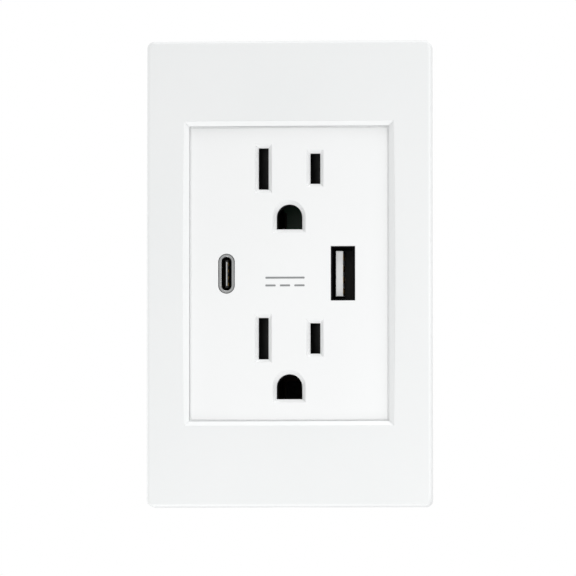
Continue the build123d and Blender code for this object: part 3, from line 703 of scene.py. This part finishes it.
def model_stroke(length):
    bpy.ops.object.select_all(action="DESELECT")
    bpy.ops.mesh.primitive_cube_add(size=1, scale=(length, ink_depth, stroke))
    bar = bpy.context.object
    bpy.ops.object.transform_apply(location=True, rotation=True, scale=True)
    bpy.ops.object.mode_set(mode="EDIT")
    bpy.ops.mesh.select_mode(type="EDGE")
    bpy.ops.mesh.select_all(action="DESELECT")
    bpy.ops.object.mode_set(mode="OBJECT")
    for edge in bar.data.edges:
        ends = [bar.data.vertices[v].co for v in edge.vertices]
        edge.select = abs(ends[0].y - ends[1].y) > ink_depth / 2
    bpy.ops.object.mode_set(mode="EDIT")
    bpy.ops.mesh.bevel(offset=end_round, segments=round_steps, affect="EDGES")
    bpy.ops.object.mode_set(mode="OBJECT")
    return bar


bar_place = (mark_x, ink_y, mark_z + row_gap / 2)
dash_places = [(mark_x + step * dash_pitch, ink_y, mark_z - row_gap / 2) for step in (-1, 0, 1)]
strokes = copy_to(model_stroke(bar_length), [bar_place]) + copy_to(model_stroke(dash_length), dash_places)
finish_piece(join_in_place(strokes), "printed_mark", mark_grey)

# %% [markdown]
# ## Screws
# In the solids a screw is a plain head on a six-sided shank. Here it gets what makes it a screw: a rounded rim, a
# recess for the driver and a thread. A bump could fake all three, but then the mesh itself would have none of them.
# Each kind is modelled once, standing on its seat at the origin, and copied to its places. Booleans cut the recess
# and join the shank to the head.


# %% Select, join and cut
def select_only(piece):
    bpy.ops.object.select_all(action="DESELECT")
    piece.select_set(True)
    bpy.context.view_layer.objects.active = piece


def combine(piece, other, operation):
    select_only(piece)
    modifier = piece.modifiers.new(operation.lower(), "BOOLEAN")
    modifier.operation = operation
    modifier.object = other
    modifier.solver = "EXACT"
    bpy.ops.object.modifier_apply(modifier=modifier.name)
    bpy.data.objects.remove(other)


def add_block(size, centre, turn=0.0):
    bpy.ops.object.select_all(action="DESELECT")
    bpy.ops.mesh.primitive_cube_add(size=1, location=centre, rotation=(0, 0, turn), scale=size)
    bpy.ops.object.transform_apply(location=True, rotation=True, scale=True)
    return bpy.context.object


print("tools: select, combine, block")

# %% [markdown]
# The head starts as a cylinder, or a six-sided prism for the earth screw. The bevel of its top face rounds the rim.
# The recess is one block cut into it for a flat driver, or two blocks crossed for a cross driver.

# %% Model a head
facing_up = 0.9  # the least upward part of a normal that counts as the top
rim_share = 0.3  # of the head's height
recess_share = 0.55  # of the head's height


def model_head(sides, radius, height, recess):
    bpy.ops.object.select_all(action="DESELECT")
    bpy.ops.mesh.primitive_cylinder_add(vertices=sides, radius=radius, depth=height, location=(0, 0, height / 2))
    head = bpy.context.object
    bpy.ops.object.transform_apply(location=True, rotation=True, scale=True)
    bpy.ops.object.mode_set(mode="EDIT")
    bpy.ops.mesh.select_mode(type="FACE")
    bpy.ops.mesh.select_all(action="DESELECT")
    bpy.ops.object.mode_set(mode="OBJECT")
    for face in head.data.polygons:
        face.select = face.normal.z > facing_up
    bpy.ops.object.mode_set(mode="EDIT")
    bpy.ops.mesh.bevel(offset=height * rim_share, segments=round_steps, affect="EDGES")
    bpy.ops.object.mode_set(mode="OBJECT")
    for turn in recess["turns"]:
        size = (recess["length"], recess["width"], 2 * height * recess_share)
        combine(head, add_block(size, (0, 0, height), turn), "DIFFERENCE")
    return head


print("recess", recess_share, "of the head's height")

# %% [markdown]
# The thread is one small triangle wound round the shank. A Screw modifier turns it and lifts it by the pitch, step by
# step. Its two open ends are then filled, because the boolean that joins it to the shank wants a closed shape.

# %% Wind a thread
thread_steps = 20
flank_share = 0.8  # of the pitch, which leaves a fifth of it bare between the flanks


def add_thread(root, crest, low, high, pitch):
    bpy.ops.object.select_all(action="DESELECT")
    bpy.ops.mesh.primitive_circle_add(vertices=3, radius=1)
    thread = bpy.context.object
    sunk = (crest - root) / 2
    flank = pitch * flank_share
    corners = [(root - sunk, low), (root - sunk, low + flank), (crest, low + flank / 2)]
    for vertex, (radius, height) in zip(thread.data.vertices, corners):
        vertex.co = (radius, 0, height)
    modifier = thread.modifiers.new("thread", "SCREW")
    modifier.axis = "Z"
    modifier.screw_offset = pitch
    modifier.iterations = int((high - low - flank) / pitch)
    modifier.steps = thread_steps
    modifier.render_steps = thread_steps
    bpy.ops.object.modifier_apply(modifier=modifier.name)
    bpy.ops.object.mode_set(mode="EDIT")
    bpy.ops.mesh.select_all(action="SELECT")
    bpy.ops.mesh.fill_holes(sides=3)
    bpy.ops.mesh.select_all(action="SELECT")
    bpy.ops.mesh.normals_make_consistent(inside=False)
    bpy.ops.object.mode_set(mode="OBJECT")
    return thread


print("a turn of thread has", thread_steps, "steps")

# %% Model a threaded shank
shank_sides = 40
thread_depth = 0.25 * mm


def model_shank(root, length, let_in, pitch):
    bpy.ops.object.select_all(action="DESELECT")
    bpy.ops.mesh.primitive_cylinder_add(vertices=shank_sides, radius=root, depth=length + let_in,
                                        location=(0, 0, (let_in - length) / 2))
    shank = bpy.context.object
    bpy.ops.object.transform_apply(location=True, rotation=True, scale=True)
    run_out = pitch / 5
    thread = add_thread(root, crest=root + thread_depth, low=pitch - length, high=-run_out, pitch=pitch)
    combine(shank, thread, "UNION")
    return shank


print("thread", thread_depth / mm, "mm deep")

# %% [markdown]
# The shank is let into the head a little before the two are joined, because faces that only touch confuse a boolean.
# The booleans leave some edges far too short to see. They are merged away, so that the mesh stays closed.

# %% Put a screw together
let_in_share = 0.2  # of the head's height
shortest_edge = 0.0005 * mm
smooth_below = math.radians(35)


def model_screw(sides, head_radius, head_height, root, length, pitch, recess):
    screw = model_head(sides, head_radius, head_height, recess)
    combine(screw, model_shank(root, length, head_height * let_in_share, pitch), "UNION")
    select_only(screw)
    bpy.ops.object.mode_set(mode="EDIT")
    bpy.ops.mesh.select_all(action="SELECT")
    bpy.ops.mesh.remove_doubles(threshold=shortest_edge)
    bpy.ops.mesh.dissolve_degenerate(threshold=shortest_edge)
    bpy.ops.object.mode_set(mode="OBJECT")
    bpy.ops.object.shade_smooth_by_angle(angle=smooth_below)
    return screw


def place_screws(screw, node, places, turn, material):
    set_of_screws = join_in_place(copy_to(screw, places, turn))
    finish_piece(set_of_screws, node + "_threaded", material)
    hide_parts(node)


print("edges under", shortest_edge / mm, "mm are merged")

# %% [markdown]
# The four housing screws have a cross recess and come from behind. They cut their own thread in plastic, so it is a
# coarse one. Their places follow from the box of their node: they are at its corners.

# %% Housing screws
low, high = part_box("housing_screws")
head_radius = 2.2 * mm
head_height = 1.6 * mm
root = 1.0 * mm
pitch = 0.9 * mm
cross = {"turns": (0, math.pi / 2), "length": head_radius * 1.15, "width": head_radius * 0.26}
screw = model_screw(
    sides=48, head_radius=head_radius, head_height=head_height,
    root=root, length=high.y - low.y - head_height, pitch=pitch, recess=cross,
)
places = [(x, high.y - head_height, z)
          for x in (low.x + head_radius, high.x - head_radius) for z in (low.z + head_radius, high.z - head_radius)]
place_screws(screw, "housing_screws", places, (-math.pi / 2, 0, 0), screw_zinc)

# %% [markdown]
# The wire screws have a broad head with a slot for a flat driver. The two on the live side are brass, the two on the
# neutral side nickel, so that an electrician can tell the sides apart. The earth screw is green and six-sided.

# %% Terminal screws
head_radius = 3.2 * mm
head_height = 2.2 * mm
root = 1.75 * mm
pitch = 0.8 * mm
slot_cut = {"turns": (0,), "length": head_radius * 2.2, "width": 1.0 * mm}
wire_screws = {
    "hot_terminal_screws": (1, screw_brass, "screw_brass"),
    "neutral_terminal_screws": (-1, screw_nickel, "screw_nickel"),
}
for node, (side, material, slot) in wire_screws.items():
    low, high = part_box(node)
    screw = model_screw(
        sides=64, head_radius=head_radius, head_height=head_height,
        root=root, length=high.x - low.x - head_height, pitch=pitch, recess=slot_cut,
    )
    seat_x = high.x - head_height if side > 0 else low.x + head_height
    middle_y = (low.y + high.y) / 2
    places = [(seat_x, middle_y, z) for z in (low.z + head_radius, high.z - head_radius)]
    place_screws(screw, node, places, (0, side * math.pi / 2, 0), material)

# %% Earth screw
low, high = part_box("ground_terminal_screw")
screw = model_screw(
    sides=6, head_radius=head_radius, head_height=head_height,
    root=root, length=high.z - low.z - head_height, pitch=pitch, recess=slot_cut,
)
middle = (low + high) / 2
place_screws(screw, "ground_terminal_screw", [(middle.x, middle.y, low.z + head_height)], (math.pi, 0, 0),
             screw_green)

# %% [markdown]
# ## Shutter springs
# A leaf spring pushes each shutter shut. It is a narrow strip with a foot on the wall of the tray and two bowed arms
# that lean on the end of the shutter. Seen from the front an arm is a quarter of a sine wave from its tip to the
# foot, and the other arm is its mirror image.

# %% Draw the bow
sheet = 0.25 * mm
foot = 0.8 * mm
bow_steps = 10


def draw_bow(low, high):
    middle_z = (low.z + high.z) / 2
    tip = (high.z - low.z) / 2
    tip_x = low.x + sheet / 2
    foot_x = high.x - sheet / 2
    arm = []
    for step in range(bow_steps + 1):
        share = step / bow_steps
        bow = math.sin(share * math.pi / 2)
        arm.append((tip_x + (foot_x - tip_x) * bow, middle_z + tip - (tip - foot) * share))
    return arm + [(x, 2 * middle_z - z) for x, z in reversed(arm)]


print("each arm in", bow_steps, "steps")

# %% [markdown]
# The strip starts as a plane on the first step of the bow, and its last edge is extruded along the others. A bevelled
# curve would give a wire more easily than a strip. Solidify then gives it the thickness of the sheet.

# %% Bend a strip
touching = sheet / 10


def bend_strip(line, near_y, far_y):
    bpy.ops.object.select_all(action="DESELECT")
    bpy.ops.mesh.primitive_plane_add(size=1)
    spring = bpy.context.object
    (x0, z0), (x1, z1) = line[0], line[1]
    for vertex in spring.data.vertices:
        y = near_y if vertex.co.y < 0 else far_y
        vertex.co = (x0, y, z0) if vertex.co.x < 0 else (x1, y, z1)
    bpy.ops.object.mode_set(mode="EDIT")
    bpy.ops.mesh.select_mode(type="EDGE")
    bpy.ops.mesh.select_all(action="DESELECT")
    bpy.ops.object.mode_set(mode="OBJECT")
    for edge in spring.data.edges:
        ends = [spring.data.vertices[v].co for v in edge.vertices]
        edge.select = all((end - Vector((x1, end.y, z1))).length < touching for end in ends)
    bpy.ops.object.mode_set(mode="EDIT")
    for (x, z), (next_x, next_z) in zip(line[1:], line[2:]):
        bpy.ops.mesh.extrude_region_move(TRANSFORM_OT_translate={"value": (next_x - x, 0, next_z - z)})
    bpy.ops.object.mode_set(mode="OBJECT")

    thicken = spring.modifiers.new("sheet", "SOLIDIFY")
    thicken.thickness = sheet
    thicken.offset = 0
    round_off = spring.modifiers.new("round_off", "BEVEL")
    round_off.width = sheet / 5
    round_off.segments = 2
    round_off.limit_method = "ANGLE"
    for name in ("sheet", "round_off"):
        bpy.ops.object.modifier_apply(modifier=name)
    bpy.ops.object.shade_smooth_by_angle(angle=smooth_below)
    return spring


print("sheet", sheet / mm, "mm thick")

# %% [markdown]
# When a shutter slides open, its spring is flattened against the wall of the tray. Here each spring is bent to its
# rest shape, takes the place of its node, which is hidden, and rides on the socket.


# %% Set the springs
def set_spring(node):
    low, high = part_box(node)
    spring = bend_strip(draw_bow(low, high), low.y, high.y)
    finish_piece(spring, node + "_bowed", spring_strip)
    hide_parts(node)
    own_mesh(spring)


for outlet in ("upper", "lower"):
    set_spring(outlet + "_shutter_spring")
